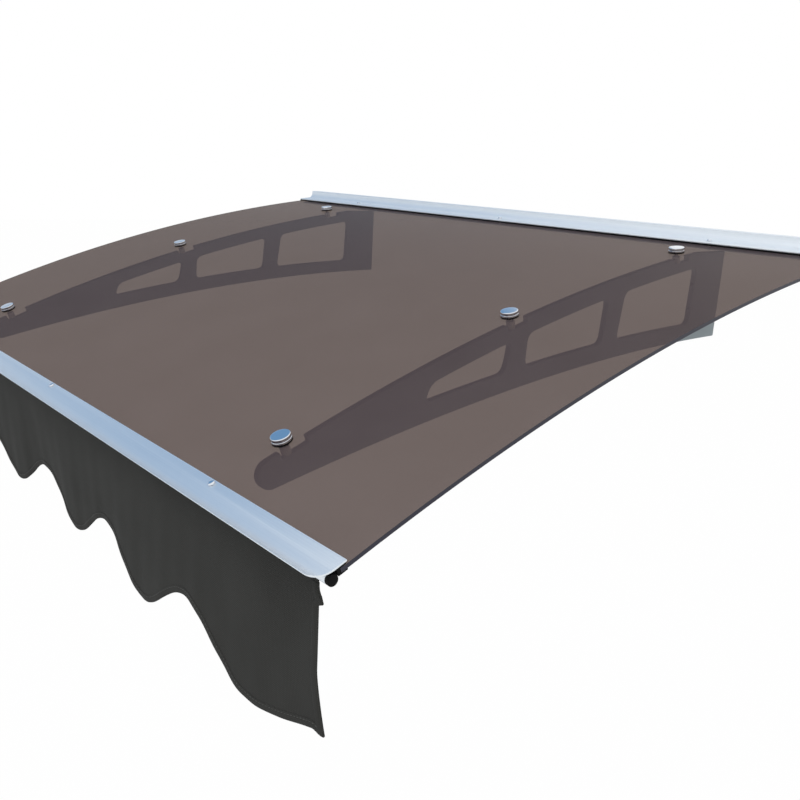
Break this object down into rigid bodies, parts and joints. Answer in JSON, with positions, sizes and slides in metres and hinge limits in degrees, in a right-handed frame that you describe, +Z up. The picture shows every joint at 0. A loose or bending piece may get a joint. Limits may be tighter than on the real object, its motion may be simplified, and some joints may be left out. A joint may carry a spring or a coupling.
{
  "type": "polycarbonate door awning",
  "caption": "Wall-mounted door awning: a curved tinted sheet clamped between aluminium rails on windowed plastic brackets, with a scalloped fabric valance on the gutter rail.",
  "frame": {"origin": "middle of the wall rail's back face, which lies on the wall", "axes": "+X along the wall to the right seen from in front, +Y into the wall, +Z up"},
  "size_m": [1.2, 0.8569, 0.3915],
  "materials": {
    "tinted_polycarbonate": "smoke-brown tint, polished, see-through",
    "aluminium": "satin anodised extrusion",
    "chrome": "polished",
    "grey_plastic": "fine moulded texture",
    "black_rubber": "matt extruded",
    "nylon": "natural moulded",
    "charcoal_cloth": "woven canvas with a bound hem"
  },
  "bodies": {
    "root": {"canopy_sheet": "tinted_polycarbonate", "rear_bar": "aluminium", "front_bar": "aluminium", "rear_seal": "black_rubber", "front_seal": "black_rubber", "valance_rod": "black_rubber", "rod_cap_left": "black_rubber", "rod_cap_right": "black_rubber", "valance": "charcoal_cloth", "bracket_left": "grey_plastic", "bracket_right": "grey_plastic", "bolt_left_rear": "chrome", "washer_left_rear": "black_rubber", "spacer_left_rear": "nylon", "bolt_left_middle": "chrome", "washer_left_middle": "black_rubber", "spacer_left_middle": "nylon", "bolt_left_front": "chrome", "washer_left_front": "black_rubber", "spacer_left_front": "nylon", "bolt_right_rear": "chrome", "washer_right_rear": "black_rubber", "spacer_right_rear": "nylon", "bolt_right_middle": "chrome", "washer_right_middle": "black_rubber", "spacer_right_middle": "nylon", "bolt_right_front": "chrome", "washer_right_front": "black_rubber", "spacer_right_front": "nylon", "rear_screw_1": "chrome", "front_screw_1": "chrome", "rear_screw_2": "chrome", "front_screw_2": "chrome", "rear_screw_3": "chrome", "front_screw_3": "chrome"}
  },
  "joints": []
}
